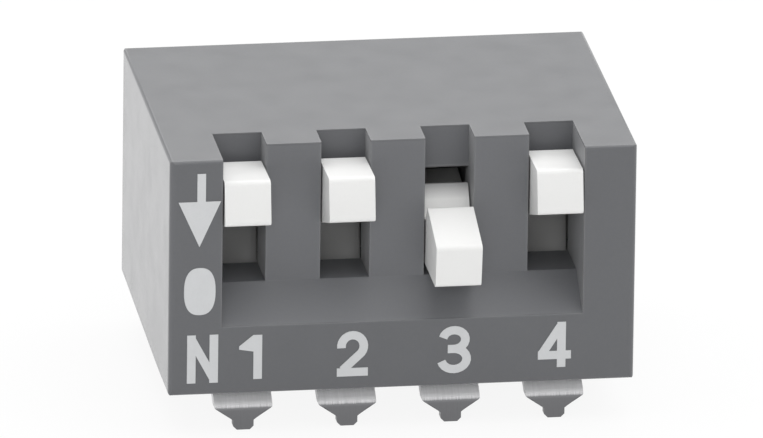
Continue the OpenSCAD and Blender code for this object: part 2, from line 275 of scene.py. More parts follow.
class EffectLibrary:
    """Node groups of the surface effects, each built once, when it is first asked for."""

    kind = "ShaderNodeTree"
    mask = {"Mask": SocketKind.NUMBER}
    grain_octaves = 3.0
    cloud_octaves = 4.0
    noise_mean = 0.5
    edge_samples = 8
    edge_span = (0.95, 0.6)
    lever_plane = (0.0, 1.0, 1.0)

    def _start_grain(self, name: str, *sizes: str) -> GroupParts:
        """Starts a group that gives a surface its colour, gloss and height.

        Args:
            name: Name of the group.
            sizes: Names of its sizes.

        Returns:
            The group's sheet, what is given to it and what it puts out.
        """
        colour = {"Colour": SocketKind.COLOUR}
        inputs = colour | dict.fromkeys(("Drift", *sizes), SocketKind.NUMBER)
        outputs = colour | dict.fromkeys(("Gloss", "Height"), SocketKind.NUMBER)
        return start_group(self.kind, name, inputs, outputs)

    def _noise(self, sheet: NodeSheet, title: str, size_mm: Socket, octaves: float) -> Socket:
        """Adds noise whose features have a size in millimetres.

        Args:
            sheet: The sheet to add to.
            title: Name of the noise.
            size_mm: Socket with the size of the features.
            octaves: Number of finer octaves.

        Returns:
            Socket with the noise.
        """
        noise = sheet.add("ShaderNodeTexNoise", title)
        noise.inputs["Detail"].default_value = octaves
        sheet.link(sheet.place_mm(), noise.inputs["Vector"])
        rate = sheet.maths("DIVIDE", f"{title} rate", 1.0, size_mm)
        sheet.link(rate, noise.inputs["Scale"])
        return noise.outputs["Fac"]

    def _drifted(self, sheet: NodeSheet, given: Sockets, noise: Socket) -> Socket:
        """Makes a group's colour lighter and darker with a noise.

        Args:
            sheet: The group's sheet.
            given: What is given to the group, with its Colour and Drift.
            noise: Socket with the noise.

        Returns:
            Socket with the changed colour.
        """
        centred = sheet.maths("SUBTRACT", "centred noise", noise, self.noise_mean)
        brightness = sheet.maths("MULTIPLY_ADD", "brightness", centred, given["Drift"], 1.0)
        return sheet.vector("SCALE", "drifted colour", given["Colour"], brightness)

    @cached_property
    def mould_grain(self) -> Tree:
        """Builds the fine grain and the faint clouds of a moulded surface.

        Returns:
            The group.
        """
        sheet, given, result = self._start_grain("mould_grain", "Grain Size", "Cloud Size")
        grain = self._noise(sheet, "grain", given["Grain Size"], self.grain_octaves)
        cloud = self._noise(sheet, "cloud", given["Cloud Size"], self.cloud_octaves)
        both = sheet.maths("ADD", "grain and cloud", grain, cloud)
        mean = sheet.maths("MULTIPLY", "mean of both", both, 0.5)
        sheet.link(self._drifted(sheet, given, mean), result["Colour"])
        sheet.link(cloud, result["Gloss"])
        sheet.link(grain, result["Height"])
        return sheet.tree

    @cached_property
    def tool_streaks(self) -> Tree:
        """Builds the drawn-out streaks that a tool leaves along a metal part.

        Returns:
            The group.
        """
        sizes = ("Streak Width", "Streak Length")
        sheet, given, result = self._start_grain("tool_streaks", *sizes)
        across = sheet.maths("DIVIDE", "across", 1.0, given["Streak Width"])
        along = sheet.maths("DIVIDE", "along", 1.0, given["Streak Length"])
        rate = sheet.add("ShaderNodeCombineXYZ", "rate")
        for axis, source in (("X", across), ("Y", along), ("Z", along)):
            sheet.link(source, rate.inputs[axis])
        drawn = sheet.vector("MULTIPLY", "drawn out", sheet.place_mm(), rate.outputs["Vector"])
        streak = sheet.add("ShaderNodeTexNoise", "streak")
        streak.inputs["Scale"].default_value = 1.0
        streak.inputs["Detail"].default_value = self.grain_octaves
        sheet.link(drawn, streak.inputs["Vector"])
        value = streak.outputs["Fac"]
        sheet.link(self._drifted(sheet, given, value), result["Colour"])
        sheet.link(value, result["Gloss"])
        sheet.link(value, result["Height"])
        return sheet.tree

    @cached_property
    def edge_wear_and_highlight(self) -> Tree:
        """Builds a mask of the outer edges, broken up into patches, for rubbing and for a painted
        edge highlight.

        Returns:
            The group.
        """
        sizes = dict.fromkeys(("Reach", "Patch Size", "Strength"), SocketKind.NUMBER)
        sheet, given, result = start_group(self.kind, "edge_wear_and_highlight", sizes, self.mask)
        thin = sheet.add(
            "ShaderNodeAmbientOcclusion",
            "thin places",
            inside=True,
            only_local=True,
            samples=self.edge_samples,
        )
        reach = sheet.maths("MULTIPLY", "reach in metres", given["Reach"], MM)
        sheet.link(reach, thin.inputs["Distance"])
        edge = sheet.ramp("edge", thin.outputs["AO"], self.edge_span)
        patch = self._noise(sheet, "patches", given["Patch Size"], self.grain_octaves)
        broken = sheet.maths("MULTIPLY", "broken edge", edge, patch)
        mask = sheet.maths("MULTIPLY", "mask", broken, given["Strength"])
        sheet.link(mask, result["Mask"])
        return sheet.tree

    @cached_property
    def box_mask(self) -> Tree:
        """Builds a mask of what lies in a box, fading out round it.

        Returns:
            The group.
        """
        corners = dict.fromkeys(("Low", "High"), SocketKind.VECTOR)
        inputs = corners | {"Fade": SocketKind.NUMBER}
        sheet, given, result = start_group(self.kind, "box_mask", inputs, self.mask)
        place = sheet.place_mm()
        above = sheet.vector("MAXIMUM", "held by low", place, given["Low"])
        nearest = sheet.vector("MINIMUM", "held by high", above, given["High"])
        gap = sheet.vector("DISTANCE", "gap", place, nearest)
        sheet.link(sheet.ramp("mask", gap, (0.0, given["Fade"]), (1.0, 0.0)), result["Mask"])
        return sheet.tree

    @cached_property
    def lever_painted_shade(self) -> Tree:
        """Builds a mask of painted shade on a lever's hub and on the upper end of its drum.

        Returns:
            The group.
        """
        discs = ("Hub", "Drum Inside", "Drum Outside")
        numbers = (*discs, "Fade", "Hub Share", "Lit Turn", "Shaded Turn")
        inputs = {"Pivot": SocketKind.VECTOR} | dict.fromkeys(numbers, SocketKind.NUMBER)
        sheet, given, result = start_group(self.kind, "lever_painted_shade", inputs, self.mask)
        offset = sheet.vector("SUBTRACT", "offset", sheet.place_mm(), given["Pivot"])
        across_pivot = sheet.vector("MULTIPLY", "across pivot", offset, self.lever_plane)
        radius = sheet.vector("LENGTH", "radius", across_pivot)
        parts = sheet.parts(offset)
        forward = sheet.maths("MULTIPLY", "forward", parts["Y"], -1.0)
        turn = sheet.maths("ARCTAN2", "turn", parts["Z"], forward)
        within = {}
        for name in discs:
            rim = sheet.maths("ADD", f"rim of {name}", given[name], given["Fade"])
            within[name] = sheet.ramp(f"within {name}", radius, (given[name], rim), (1.0, 0.0))
        # Painted shade: the hub is greyed where it sits in the slot's shade, and the drum's upper
        # end where the cover's lip shades it.
        shaded = sheet.maths("MULTIPLY", "greased hub", within["Hub"], given["Hub Share"])
        ring = sheet.maths("SUBTRACT", "ring", within["Drum Outside"], within["Drum Inside"])
        upper = sheet.ramp("upper end", turn, (given["Lit Turn"], given["Shaded Turn"]))
        painted_light_and_wear = sheet.maths("MULTIPLY", "rubbed drum", upper, ring)
        sheet.link(sheet.maths("MAXIMUM", "mask", shaded, painted_light_and_wear), result["Mask"])
        return sheet.tree


# Finishes


@dataclass(frozen=True)
class PaintJob:
    """A material in the making: its sheet, its surface shader and the effects."""

    sheet: NodeSheet
    surface: bpy.types.Node
    effects: EffectLibrary

    def place(self, effect: Tree, values: dict[str, Operand]) -> Sockets:
        """Places an effect in the material.

        Args:
            effect: The effect's group.
            values: Values of its named inputs.

        Returns:
            Its outputs by name.
        """
        node = self.sheet.add("ShaderNodeGroup", effect.name)
        node.node_tree = effect
        for name, value in values.items():
            node.inputs[name].default_value = value
        return by_name(node.outputs)

    def feed(self, name: str, source: Socket) -> None:
        """Links a socket to an input of the surface."""
        self.sheet.link(source, self.surface.inputs[name])

    def source(self, name: str) -> Socket:
        """Gives the socket that is linked to an input of the surface."""
        return self.surface.inputs[name].links[0].from_socket


@dataclass(frozen=True, kw_only=True)
class Finish:
    """What every finish has: its name, its colour and how rough and grained it is.

    Drift is the share by which the colour wavers. Round is the radius at which the edges
    of the mesh look rounded, or 0 for none. Sheen is the share of the pale bloom that a
    surface shows at a low angle.
    """

    name: str
    colour: Colour
    smooth: float
    rough: float
    drift: float
    relief_mm: float
    round_mm: float = 0.0
    sheen: float = 0.0

    gloss_span = (0.3, 0.7)
    round_samples = 8
    sheen_rough = 0.25

    def material(self, effects: EffectLibrary) -> bpy.types.Material:
        """Makes the material, or finds it if it is made already.

        Args:
            effects: The groups of the surface effects.

        Returns:
            The material.
        """
        found = bpy.data.materials.get(self.name)
        if found:
            return found
        made = bpy.data.materials.new(self.name)
        made.use_nodes = True
        made.diffuse_color = (*self.colour, 1.0)
        sheet = NodeSheet(made.node_tree)
        surface = sheet.add("ShaderNodeBsdfPrincipled", "surface")
        output = sheet.add("ShaderNodeOutputMaterial", "output")
        sheet.link(surface.outputs["BSDF"], output.inputs["Surface"])
        surface.inputs["Sheen Weight"].default_value = self.sheen
        surface.inputs["Sheen Roughness"].default_value = self.sheen_rough
        self.wire(PaintJob(sheet, surface, effects))
        return made

    def wire(self, job: PaintJob) -> None:
        """Wires the effects to the surface; each kind of finish has its own way."""
        raise NotImplementedError

    def spread(self, job: PaintJob, effect: Tree, sizes: dict[str, float]) -> None:
        """Spreads an effect over the surface, as colour, roughness and relief.

        Args:
            job: The material in the making.
            effect: The effect's group, with a Colour, a Gloss and a Height.
            sizes: Values of its sizes.
        """
        sheet = job.sheet
        values = {"Colour": (*self.colour, 1.0), "Drift": self.drift, **sizes}
        grain = job.place(effect, values)
        job.feed("Base Color", grain["Colour"])
        span = (self.smooth, self.rough)
        job.feed("Roughness", sheet.ramp("roughness", grain["Gloss"], self.gloss_span, span))
        relief = sheet.add("ShaderNodeBump", "relief")
        relief.inputs["Distance"].default_value = self.relief_mm * MM
        sheet.link(grain["Height"], relief.inputs["Height"])
        if self.round_mm:
            rounded = sheet.add("ShaderNodeBevel", "rounded edges", samples=self.round_samples)
            rounded.inputs["Radius"].default_value = self.round_mm * MM
            sheet.link(rounded.outputs["Normal"], relief.inputs["Normal"])
        job.feed("Normal", relief.outputs["Normal"])


@dataclass(frozen=True, kw_only=True)
class Grained(Finish):
    """A surface with a fine grain and faint clouds, such as printed ink."""

    grain_mm: float
    cloud_mm: float

    def wire(self, job: PaintJob) -> None:
        """Wires the grain and the clouds."""
        sizes = {"Grain Size": self.grain_mm, "Cloud Size": self.cloud_mm}
        self.spread(job, job.effects.mould_grain, sizes)


@dataclass(frozen=True, kw_only=True)
class Moulded(Grained):
    """Plastic straight from the mould, lighter along its outer edges, partly from rubbing and
    partly as a painted edge highlight.
    """

    painted_light_and_wear: Colour
    wear_and_highlight_mm: float
    wear_and_highlight: float

    def wire(self, job: PaintJob) -> None:
        """Wires the grain and the lighter edges, from rubbing and a painted edge highlight.

        Args:
            job: The material in the making.
        """
        super().wire(job)
        worn_and_highlit = job.place(
            job.effects.edge_wear_and_highlight,
            {"Reach": self.wear_and_highlight_mm, "Patch Size": self.cloud_mm, "Strength": self.wear_and_highlight},
        )
        plain = job.source("Base Color")
        # Lighter edges: partly rubbing, partly a painted edge highlight.
        job.feed("Base Color", job.sheet.mix("rubbed edges", worn_and_highlit["Mask"], plain, self.painted_light_and_wear))


@dataclass(frozen=True, kw_only=True)
class Polished(Moulded):
    """Plastic from a mould that is polished outside and left dull in one bay, whose colour is
    lifted there as painted fill light against the bay's shade.
    """

    dull: float
    pale: float
    bay_low_mm: Place
    bay_high_mm: Place
    fade_mm: float

    def wire(self, job: PaintJob) -> None:
        """Wires the moulded surface, the dull bay and the bay's painted fill light.

        Args:
            job: The material in the making.
        """
        super().wire(job)
        sheet = job.sheet
        bay = job.place(
            job.effects.box_mask,
            {"Low": self.bay_low_mm, "High": self.bay_high_mm, "Fade": self.fade_mm},
        )["Mask"]
        polish = job.source("Roughness")
        job.feed("Roughness", sheet.maths("MULTIPLY_ADD", "dulled", bay, self.dull, polish))
        # Painted fill light: the bay's colour is lifted to offset the shade in the recess.
        brightness = sheet.maths("MULTIPLY_ADD", "brightness", bay, self.pale, 1.0)
        plain = job.source("Base Color")
        job.feed("Base Color", sheet.vector("SCALE", "painted_fill_light", plain, brightness))


@dataclass(frozen=True, kw_only=True)
class Pivoted(Moulded):
    """Plastic of a lever, greyed as painted shade on its hub and on the upper end of its drum.

    The drum's angles are about the pivot, from the front upwards, on a raised lever. Pushed
    is the angle by which the lever is down at rest.
    """

    painted_shade: Colour
    hub_mm: float
    hub_share: float
    drum_inside_mm: float
    drum_outside_mm: float
    fade_mm: float
    lit_deg: float
    shaded_deg: float
    pivot_mm: Place = (0.0, 0.0, 0.0)
    pushed_deg: float = 0.0

    def wire(self, job: PaintJob) -> None:
        """Wires the moulded surface and its painted shade.

        Args:
            job: The material in the making.
        """
        super().wire(job)
        shade_mask = job.place(
            job.effects.lever_painted_shade,
            {
                "Pivot": self.pivot_mm,
                "Hub": self.hub_mm,
                "Drum Inside": self.drum_inside_mm,
                "Drum Outside": self.drum_outside_mm,
                "Fade": self.fade_mm,
                "Hub Share": self.hub_share,
                "Lit Turn": math.radians(self.lit_deg - self.pushed_deg),
                "Shaded Turn": math.radians(self.shaded_deg - self.pushed_deg),
            },
        )
        # Painted shade on the hub and on the drum's upper end.
        plain = job.source("Base Color")
        job.feed("Base Color", job.sheet.mix("soiled plastic", shade_mask["Mask"], plain, self.painted_shade))


@dataclass(frozen=True, kw_only=True)
class Plated(Finish):
    """Plated metal with the streaks of its stamping or drawing."""

    streak_mm: float
    streak_length_mm: float

    def wire(self, job: PaintJob) -> None:
        """Wires the streaks on a metal.

        Args:
            job: The material in the making.
        """
        job.surface.inputs["Metallic"].default_value = 1.0
        sizes = {"Streak Width": self.streak_mm, "Streak Length": self.streak_length_mm}
        self.spread(job, job.effects.tool_streaks, sizes)


@dataclass(frozen=True, kw_only=True)
class LitShoulderMetal(Plated):
    """Plated metal, darker below a wavering line as painted shade on the blade, and lighter and
    less metallic above it as a painted highlight on the shoulder.
    """

    blade_shade: Colour
    line_mm: float
    fade_mm: float
    waver_mm: float
    shoulder_metallic: float

    def wire(self, job: PaintJob) -> None:
        """Wires the streaks and the line between the shoulder's painted highlight and the blade's
        painted shade.

        Args:
            job: The material in the making.
        """
        super().wire(job)
        sheet = job.sheet
        plain = job.source("Base Color")
        streaks = plain.node.outputs["Gloss"]
        height = sheet.parts(sheet.place_mm())["Z"]
        level = sheet.maths("MULTIPLY_ADD", "wavering level", streaks, self.waver_mm, height)
        span = (self.line_mm + self.fade_mm, self.line_mm - self.fade_mm)
        blade = sheet.ramp("blade", level, span)
        # Painted highlight on the shoulder, which is also made less metallic, and painted shade on
        # the blade.
        job.feed("Base Color", sheet.mix("shoulder and blade", blade, plain, self.blade_shade))
        metal = sheet.ramp("metal", blade, (0.0, 1.0), (self.shoulder_metallic, 1.0))
        job.feed("Metallic", metal)


COVER_PLASTIC = Polished(
    name="cover_satin_grey",
    colour=(0.120, 0.123, 0.131),
    smooth=0.14,
    rough=0.22,
    drift=0.16,
    relief_mm=0.0004,
    round_mm=0.035,
    sheen=0.3,
    grain_mm=0.07,
    cloud_mm=0.9,
    # Edge colour: partly rubbing, partly a painted edge highlight.
    painted_light_and_wear=(0.24, 0.242, 0.246),
    wear_and_highlight_mm=0.06,
    wear_and_highlight=0.55,
    dull=0.28,
    # Painted fill light: share by which the bay's colour is lifted.
    pale=0.18,
    bay_low_mm=(-4.5, -4.2, 1.0),
    bay_high_mm=(4.5, 4.1, 6.08),
    fade_mm=0.04,
)
BASE_PLASTIC = Moulded(
    name="base_matte_grey",
    colour=(0.085, 0.087, 0.090),
    smooth=0.42,
    rough=0.56,
    drift=0.18,
    relief_mm=0.002,
    round_mm=0.03,
    sheen=0.08,
    grain_mm=0.06,
    cloud_mm=0.7,
    # Edge colour: partly rubbing, partly a painted edge highlight.
    painted_light_and_wear=(0.17, 0.172, 0.176),
    wear_and_highlight_mm=0.05,
    wear_and_highlight=0.4,
)
LEVER_PLASTIC = Pivoted(
    name="lever_satin_white",
    colour=(0.83, 0.83, 0.82),
    smooth=0.30,
    rough=0.42,
    drift=0.05,
    relief_mm=0.0012,
    grain_mm=0.06,
    cloud_mm=0.6,
    # Edge colour: partly rubbing, partly a painted edge highlight.
    painted_light_and_wear=(0.88, 0.88, 0.87),
    wear_and_highlight_mm=0.05,
    wear_and_highlight=0.5,
    # Painted shade: grey of the hub and of the drum's upper end, where the cover shades them.
    painted_shade=(0.25, 0.25, 0.255),
    hub_mm=1.1,
    hub_share=0.4,
    drum_inside_mm=2.4,
    drum_outside_mm=3.7,
    fade_mm=0.1,
    lit_deg=51.0,
    shaded_deg=57.5,
)
MARK_INK = Grained(
    name="mark_pale_ink",
    colour=(0.62, 0.63, 0.64),
    smooth=0.42,
    rough=0.55,
    drift=0.14,
    relief_mm=0.0012,
    grain_mm=0.05,
    cloud_mm=0.25,
)
TERMINAL_TIN = LitShoulderMetal(
    name="terminal_dull_tin",
    colour=(0.90, 0.90, 0.91),
    smooth=0.34,
    rough=0.52,
    drift=0.22,
    relief_mm=0.0012,
    streak_mm=0.03,
    streak_length_mm=0.5,
    # Painted shade on the blade; above the line the shoulder keeps a painted highlight.
    blade_shade=(0.165, 0.166, 0.172),
    line_mm=-0.28,
    fade_mm=0.04,
    waver_mm=0.05,
    shoulder_metallic=0.0,
)
BALL_GOLD = Plated(
    name="ball_gold_flash",
    colour=(0.80, 0.60, 0.27),
    smooth=0.14,
    rough=0.26,
    drift=0.12,
    relief_mm=0.0006,
    streak_mm=0.05,
    streak_length_mm=0.12,
)
SPRING_WIRE = Plated(
    name="spring_drawn_steel",
    colour=(0.55, 0.55, 0.56),
    smooth=0.22,
    rough=0.38,
    drift=0.20,
    relief_mm=0.0006,
    streak_mm=0.02,
    streak_length_mm=0.3,
)


# Edges


class MeshSteps:
    """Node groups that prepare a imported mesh, each built once, when it is first asked for."""

    kind = "GeometryNodeTree"
    mesh = {"Geometry": SocketKind.MESH}
    weld_mm = 0.001
    sharp_deg = 32.0
    broken_deg = 50.0
    least_mm = 0.2
    weight_name = "bevel_weight_edge"

    def add_to(self, piece: Piece, step: Tree) -> None:
        """Adds a step to a piece's modifiers; its mesh stays as it is."""
        piece.modifiers.new(step.name, "NODES").node_group = step

    @cached_property
    def weld(self) -> Tree:
        """Welds the facets of a piece to one skin.

        Returns:
            The group.
        """
        sheet, given, result = start_group(self.kind, "weld_facets", self.mesh, self.mesh)
        weld = sheet.add("GeometryNodeMergeByDistance", "weld")
        weld.inputs["Distance"].default_value = self.weld_mm * MM
        sheet.link(given["Geometry"], weld.inputs["Geometry"])
        sheet.link(weld.outputs["Geometry"], result["Geometry"])
        return sheet.tree

    @cached_property
    def pick(self) -> Tree:
        """Gives the long outer edges the weight that breaks them.

        Returns:
            The group.
        """
        sheet, given, result = start_group(self.kind, "pick_long_edges", self.mesh, self.mesh)
        turn = sheet.add("GeometryNodeInputMeshEdgeAngle", "turn").outputs["Signed Angle"]
        outer = self._more(sheet, "outer", turn, math.radians(self.broken_deg))
        ends = sheet.add("GeometryNodeInputMeshEdgeVertices", "ends").outputs
        length = sheet.vector("DISTANCE", "length", ends["Position 1"], ends["Position 2"])
        long_one = self._more(sheet, "long", length, self.least_mm * MM)
        both = sheet.add("FunctionNodeBooleanMath", "outer and long", operation="AND")
        sheet.link(outer, both.inputs[0])
        sheet.link(long_one, both.inputs[1])
        store = sheet.add(
            "GeometryNodeStoreNamedAttribute", "weight", data_type="FLOAT", domain="EDGE"
        )
        store.inputs["Name"].default_value = self.weight_name
        sheet.link(both.outputs["Boolean"], store.inputs["Value"])
        sheet.link(given["Geometry"], store.inputs["Geometry"])
        sheet.link(store.outputs["Geometry"], result["Geometry"])
        return sheet.tree

    @cached_property
    def shade(self) -> Tree:
        """Shades faces smooth and keeps the sharp edges sharp.

        Returns:
            The group.
        """
        sheet, given, result = start_group(self.kind, "shade_by_angle", self.mesh, self.mesh)
        faces = sheet.add("GeometryNodeSetShadeSmooth", "smooth faces", domain="FACE")
        turn = sheet.add("GeometryNodeInputMeshEdgeAngle", "turn").outputs["Unsigned Angle"]
        sharp = self._more(sheet, "sharp", turn, math.radians(self.sharp_deg))
        edges = sheet.add("GeometryNodeSetShadeSmooth", "sharp edges", domain="EDGE")
        edges.inputs["Shade Smooth"].default_value = False
        sheet.link(sharp, edges.inputs["Selection"])
        sheet.link(given["Geometry"], faces.inputs["Geometry"])
        sheet.link(faces.outputs["Geometry"], edges.inputs["Geometry"])
        sheet.link(edges.outputs["Geometry"], result["Geometry"])
        return sheet.tree

    def _more(self, sheet: NodeSheet, title: str, value: Socket, least: float) -> Socket:
        """Adds a test whether a value is more than a number.

        Args:
            sheet: The sheet to add to.
            title: Name of the test.
            value: Socket with the value.
            least: The number.

        Returns:
            Socket with the answer.
        """
        test = sheet.add("FunctionNodeCompare", title, data_type="FLOAT", operation="GREATER_THAN")
        test.inputs["B"].default_value = least
        sheet.link(value, test.inputs["A"])
        return test.outputs["Result"]


@dataclass(frozen=True)
class EdgeBreak:
    """Modifiers that break the long outer edges of a piece."""

    width_mm: float
    segments: int = 2
    flat_deg: float = 0.5

    def add_to(self, piece: Piece, steps: MeshSteps) -> None:
        """Puts the modifiers on a piece.

        Args:
            piece: The piece; its mesh stays as it is.
            steps: The shared mesh steps.
        """
        flat = piece.modifiers.new("flat_faces", "DECIMATE")
        flat.decimate_type = "DISSOLVE"
        flat.angle_limit = math.radians(self.flat_deg)
        steps.add_to(piece, steps.pick)
        edge = piece.modifiers.new("broken_edges", "BEVEL")
        edge.width = self.width_mm * MM
        edge.segments = self.segments
        edge.limit_method = "WEIGHT"
        edge.use_clamp_overlap = False
        steps.add_to(piece, steps.weld)


@dataclass(frozen=True)
class Workshop:
    """What every sub-assembly is dressed with: the effects and the mesh steps."""

    effects: EffectLibrary
    steps: MeshSteps
    flat_weight: int = 100

    def dress(self, node: str, finish: Finish, edges: EdgeBreak | None = None) -> Piece:
        """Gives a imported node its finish, a smooth skin and broken edges.

        Args:
            node: Name of the node.
            finish: The finish to give it.
            edges: How to break its edges, or None to leave them.

        Returns:
            The node's object.
        """
        piece = frame["nodes"][node]
        piece.data.materials.clear()
        piece.data.materials.append(finish.material(self.effects))
        self.steps.add_to(piece, self.steps.weld)
        if edges:
            edges.add_to(piece, self.steps)
        self.steps.add_to(piece, self.steps.shade)
        normals = piece.modifiers.new("face_normals", "WEIGHTED_NORMAL")
        normals.weight = self.flat_weight
        normals.keep_sharp = True
        return piece


# Sub-assemblies


@dataclass
class Housing:
    """The moulded cover and the base that closes it from below."""

    cover_finish: Finish = COVER_PLASTIC
    base_finish: Finish = BASE_PLASTIC

    def build(self, shop: Workshop) -> list[Piece]:
        """Dresses the cover and the base."""
        return [shop.dress("cover", self.cover_finish), shop.dress("base", self.base_finish)]


@dataclass
class LeverBank:
    """The rocking levers, each with the spring and the ball that it carries."""

    lever_edges: EdgeBreak = EdgeBreak(width_mm=0.05, segments=3)

    def build(self, shop: Workshop) -> list[Piece]:
        """Dresses every lever with its spring and ball.

        Args:
            shop: The shared effects and mesh steps.

        Returns:
            The pieces, position by position.
        """
        made = []
        for number in POSITIONS:
            made.append(shop.dress(f"lever_{number}", self._finish(number), self.lever_edges))
            made.append(shop.dress(f"spring_{number}", SPRING_WIRE))
            made.append(shop.dress(f"ball_{number}", BALL_GOLD))
        return made

    def _finish(self, number: int) -> Pivoted:
        """Fits the levers' finish to one lever.

        Args:
            number: The lever's position.

        Returns:
            The finish, about the lever's hinge and as far down as the lever is at rest.
        """
        hinge = next(joint for joint in frame["joints"] if joint["name"] == f"lever_{number}_tilt")
        return replace(
            LEVER_PLASTIC,
            name=f"{LEVER_PLASTIC.name}_{number}",
            pivot_mm=tuple(part / MM for part in hinge["pos_m"]),
            pushed_deg=-hinge["range_deg"][0],
        )


@dataclass
class TerminalRows:
    """The stamped terminals of the front and the rear row."""

    terminal_edges: EdgeBreak = EdgeBreak(width_mm=0.025)

    def build(self, shop: Workshop) -> list[Piece]:
        """Dresses every terminal.

        Args:
            shop: The shared effects and mesh steps.

        Returns:
            The pieces, row by row.
        """
        return [
            shop.dress(f"{row}_terminal_{number}", TERMINAL_TIN, self.terminal_edges)
            for row in ("front", "rear")
            for number in POSITIONS
        ]


@dataclass(frozen=True)
class MarkBox:
    """Place of a mark on the cover's front: its left, lower, right and upper side."""

    left: float
    low: float
    right: float
    high: float

    def inside(self, point: Point, inset: float = 0.0) -> Point:
        """Turns a point of the unit square into millimetres.

        Args:
            point: The point, from 0 to 1 each way.
            inset: Margin to keep along the box's sides.

        Returns:
            The point in millimetres.
        """
        wide = self.right - self.left - 2 * inset
        tall = self.high - self.low - 2 * inset
        return self.left + inset + wide * point[0], self.low + inset + tall * point[1]


@dataclass(frozen=True)
class Stroke:
    """A pen stroke along a path in the unit square of its mark."""

    path: Outline
    cap: Cap = Cap.SQUARE

    sharpest_turn = 0.5

    def outline(self, pen: float, at: MarkBox) -> Outline:
        """Gives the stroke's outline.

        Args:
            pen: Width of the pen, in millimetres.
            at: Box of the mark, which the pen stays inside.

        Returns:
            The closed outline, in millimetres.
        """
        path = [Vector(at.inside(point, pen / 2)) for point in self.path]
        run_out = pen * self.cap.value
        path[0] += (path[0] - path[1]).normalized() * run_out
        path[-1] += (path[-1] - path[-2]).normalized() * run_out
        left, right = [], []
        for k, point in enumerate(path):
            before = (path[max(k, 1)] - path[max(k, 1) - 1]).normalized()
            last = min(k + 1, len(path) - 1)
            after = (path[last] - path[last - 1]).normalized()
            middle = (before + after).normalized()
            reach = pen / 2 / max(middle.dot(after), self.sharpest_turn)
            side = Vector((-middle.y, middle.x)) * reach
            left.append(tuple(point + side))
            right.append(tuple(point - side))
        return left + right[::-1]


def arc(centre: Point, radii: Point, start_deg: float, end_deg: float, steps: int = 16) -> Outline:
    """Gives points along an elliptic arc.

    Args:
        centre: Centre of the ellipse.
        radii: Half axes of the ellipse.
        start_deg: Angle of the first point.
        end_deg: Angle of the last point.
        steps: Number of steps between them.

    Returns:
        The points, both ends included.
    """
    turns = (math.radians(start_deg + (end_deg - start_deg) * k / steps) for k in range(steps + 1))
    return [
        (centre[0] + radii[0] * math.cos(turn), centre[1] + radii[1] * math.sin(turn))
        for turn in turns
    ]


def oval(steps: int = 40, squareness: float = 2.5) -> Outline:
    """Gives the outline of a slightly squared oval that fills the unit square.

    Args:
        steps: Number of points.
        squareness: Exponent of the oval; 2 is an ellipse.

    Returns:
        The outline.
    """
    turns = (2 * math.pi * k / steps for k in range(steps))
    return [
        tuple(
            0.5 + 0.5 * math.copysign(abs(part) ** (2 / squareness), part)
            for part in (math.cos(turn), math.sin(turn))
        )
        for turn in turns
    ]


def goes_round(outline: Outline, point: Vector) -> bool:
    """Says whether a closed outline goes round a point.

    Args:
        outline: The outline.
        point: The point.

    Returns:
        True where the outline winds round the point.
    """
    turns = 0
    for (ax, ay), (bx, by) in zip(outline, outline[1:] + outline[:1]):
        if (ay <= point.y) != (by <= point.y):
            side = (bx - ax) * (point.y - ay) - (point.x - ax) * (by - ay)
            turns += (side > 0) if by > ay else -(side < 0)
    return turns != 0


@dataclass(frozen=True)
class Mark:
    """One printed mark: pen strokes and filled patches in its own box."""

    name: str
    box: MarkBox
    strokes: tuple[Stroke, ...] = ()
    patches: tuple[Outline, ...] = ()

    def outlines(self, pen: float) -> list[Outline]:
        """Gives the outlines that the mark is the union of, in millimetres."""
        drawn = [stroke.outline(pen, self.box) for stroke in self.strokes]
        return drawn + [[self.box.inside(point) for point in patch] for patch in self.patches]


MARKS = (
    Mark(
        "mark_arrow",
        MarkBox(-5.492, 3.961, -4.457, 5.829),
        patches=(
            [(0.0, 0.618), (0.5, 0.0), (1.0, 0.618)],
            [(0.44, 0.6), (0.64, 0.6), (0.64, 1.0), (0.44, 1.0)],
        ),
    ),
    Mark("mark_on_o", MarkBox(-5.339, 2.217, -4.571, 3.423), patches=(oval(),)),
    Mark(
        "mark_on_n",
        MarkBox(-5.25, 0.466, -4.493, 1.7),
        strokes=(
            Stroke([(0, 0), (0, 1)]),
            Stroke([(0, 1), (1, 0)], Cap.FLUSH),
            Stroke([(1, 0), (1, 1)]),
        ),
    ),
    Mark(
        "mark_1",
        MarkBox(-3.981, 0.52, -3.419, 1.652),
        strokes=(Stroke([(1, 0), (1, 1)]),),
        patches=([(0.0, 0.75), (0.0, 0.68), (0.7, 0.62), (0.7, 1.0), (0.62, 1.0)],),
    ),
    Mark(
        "mark_2",
        MarkBox(-1.587, 0.495, -0.829, 1.653),
        strokes=(
            Stroke(arc((0.5, 0.70), (0.5, 0.30), 188, -38) + [(0.06, 0.06)], Cap.FLUSH),
            Stroke([(0, 0), (1, 0)]),
        ),
    ),
    Mark(
        "mark_3",
        MarkBox(0.883, 0.469, 1.692, 1.68),
        strokes=(
            Stroke(arc((0.48, 0.76), (0.46, 0.24), 168, -90), Cap.FLUSH),
            Stroke(arc((0.48, 0.26), (0.52, 0.26), 90, -168), Cap.FLUSH),
            Stroke([(0.4, 0.52), (0.56, 0.52)]),
        ),
    ),
    Mark(
        "mark_4",
        MarkBox(3.333, 0.522, 4.142, 1.683),
        strokes=(
            Stroke([(0.78, 0), (0.78, 1)]),
            Stroke([(0.74, 1), (0.0, 0.27)], Cap.FLUSH),
            Stroke([(0.0, 0.22), (1, 0.22)]),
        ),
    ),
)


